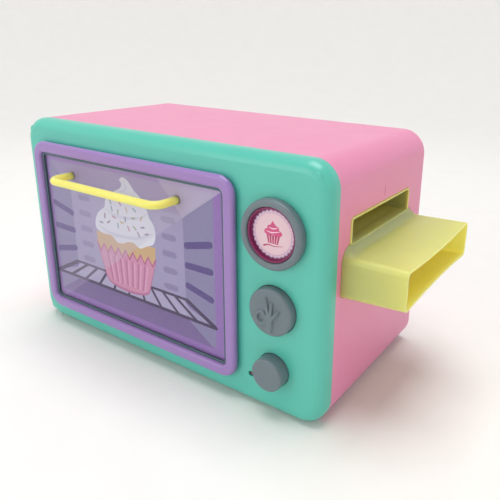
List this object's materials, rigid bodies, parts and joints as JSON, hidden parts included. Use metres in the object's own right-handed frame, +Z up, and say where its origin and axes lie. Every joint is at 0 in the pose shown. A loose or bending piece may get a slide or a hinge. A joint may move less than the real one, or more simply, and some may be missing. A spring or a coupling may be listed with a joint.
{
  "type": "toy oven",
  "caption": "Toy oven with rounded casing, drop-down picture door with rod handle, turning dial, two push buttons and a side tray port with sleeve.",
  "frame": {"origin": "middle of the casing's flat underside, on the surface it stands on", "axes": "+Z up, door faces -Y, +X to the right seen from the front, towards the side port"},
  "size_m": [0.3445, 0.1765, 0.184],
  "materials": {
    "mint_abs": "moulded, glossy",
    "pink_abs": "moulded, glossy",
    "lilac_abs": "moulded, semi-gloss",
    "yellow_pp": "moulded, satin",
    "grey_abs": "moulded, satin",
    "inner_plastic": "moulded, matte",
    "white_plastic": "moulded, matte",
    "badge_plastic": "moulded, glossy",
    "printed_label": "printed, laminated",
    "printed_card": "printed",
    "clear_ps": "clear, polished plastic",
    "seal_plastic": "moulded, satin",
    "zinc_steel": "zinc plated",
    "board_laminate": "solder mask",
    "led_resin": "tinted resin",
    "lamp_glass": "warm tinted, clear",
    "speaker_body": "coated paper and steel",
    "cell_jacket": "printed jacket",
    "wire_pvc": "soft insulation"
  },
  "bodies": {
    "casing": {"front_bezel": "mint_abs", "housing_shell": "pink_abs", "rear_cover": "pink_abs", "bezel_screws": "zinc_steel", "rear_screws": "zinc_steel", "oven_liner": "inner_plastic", "liner_clips": "zinc_steel", "port_chute": "yellow_pp", "port_duct": "yellow_pp", "chute_screws": "zinc_steel", "badge_cup": "badge_plastic", "badge_label": "printed_label", "ok_spring": "zinc_steel", "power_spring": "zinc_steel", "circuit_board": "board_laminate", "tact_switches": "inner_plastic", "board_screws": "zinc_steel", "indicator_led": "led_resin", "cavity_lamp": "lamp_glass", "lamp_socket": "white_plastic", "speaker": "speaker_body", "battery_box": "inner_plastic", "battery_contacts": "zinc_steel", "batteries": "cell_jacket", "battery_door": "pink_abs", "battery_door_screw": "zinc_steel", "wire_loom": "wire_pvc"},
    "door": {"door_frame": "lilac_abs", "door_window": "clear_ps", "window_seal": "seal_plastic", "picture_card": "printed_card", "door_back": "lilac_abs", "door_screws": "zinc_steel", "door_handle": "yellow_pp", "handle_screws": "zinc_steel", "hinge_pins": "zinc_steel"},
    "dial": {"dial_ring": "grey_abs", "dial_retainer": "inner_plastic"},
    "ok_key": {"ok_button": "grey_abs"},
    "power_key": {"power_button": "grey_abs"}
  },
  "joints": [
    {"name": "door_hinge", "type": "hinge", "parent": "casing", "child": "door", "pos_m": [-0.0255, -0.0793, 0.02], "axis": [1, 0, 0], "range_deg": [0, 85]},
    {"name": "dial_turn", "type": "hinge", "parent": "casing", "child": "dial", "pos_m": [0.1116, -0.076, 0.1345], "axis": [0, -1, 0], "range_deg": [0, 270]},
    {"name": "ok_press", "type": "slide", "parent": "casing", "child": "ok_key", "axis": [0, 1, 0], "range_m": [0, 0.003], "stiffness_N_per_m": 300, "deforming": ["ok_spring"]},
    {"name": "power_press", "type": "slide", "parent": "casing", "child": "power_key", "axis": [0, 1, 0], "range_m": [0, 0.003], "stiffness_N_per_m": 300, "deforming": ["power_spring"]}
  ]
}
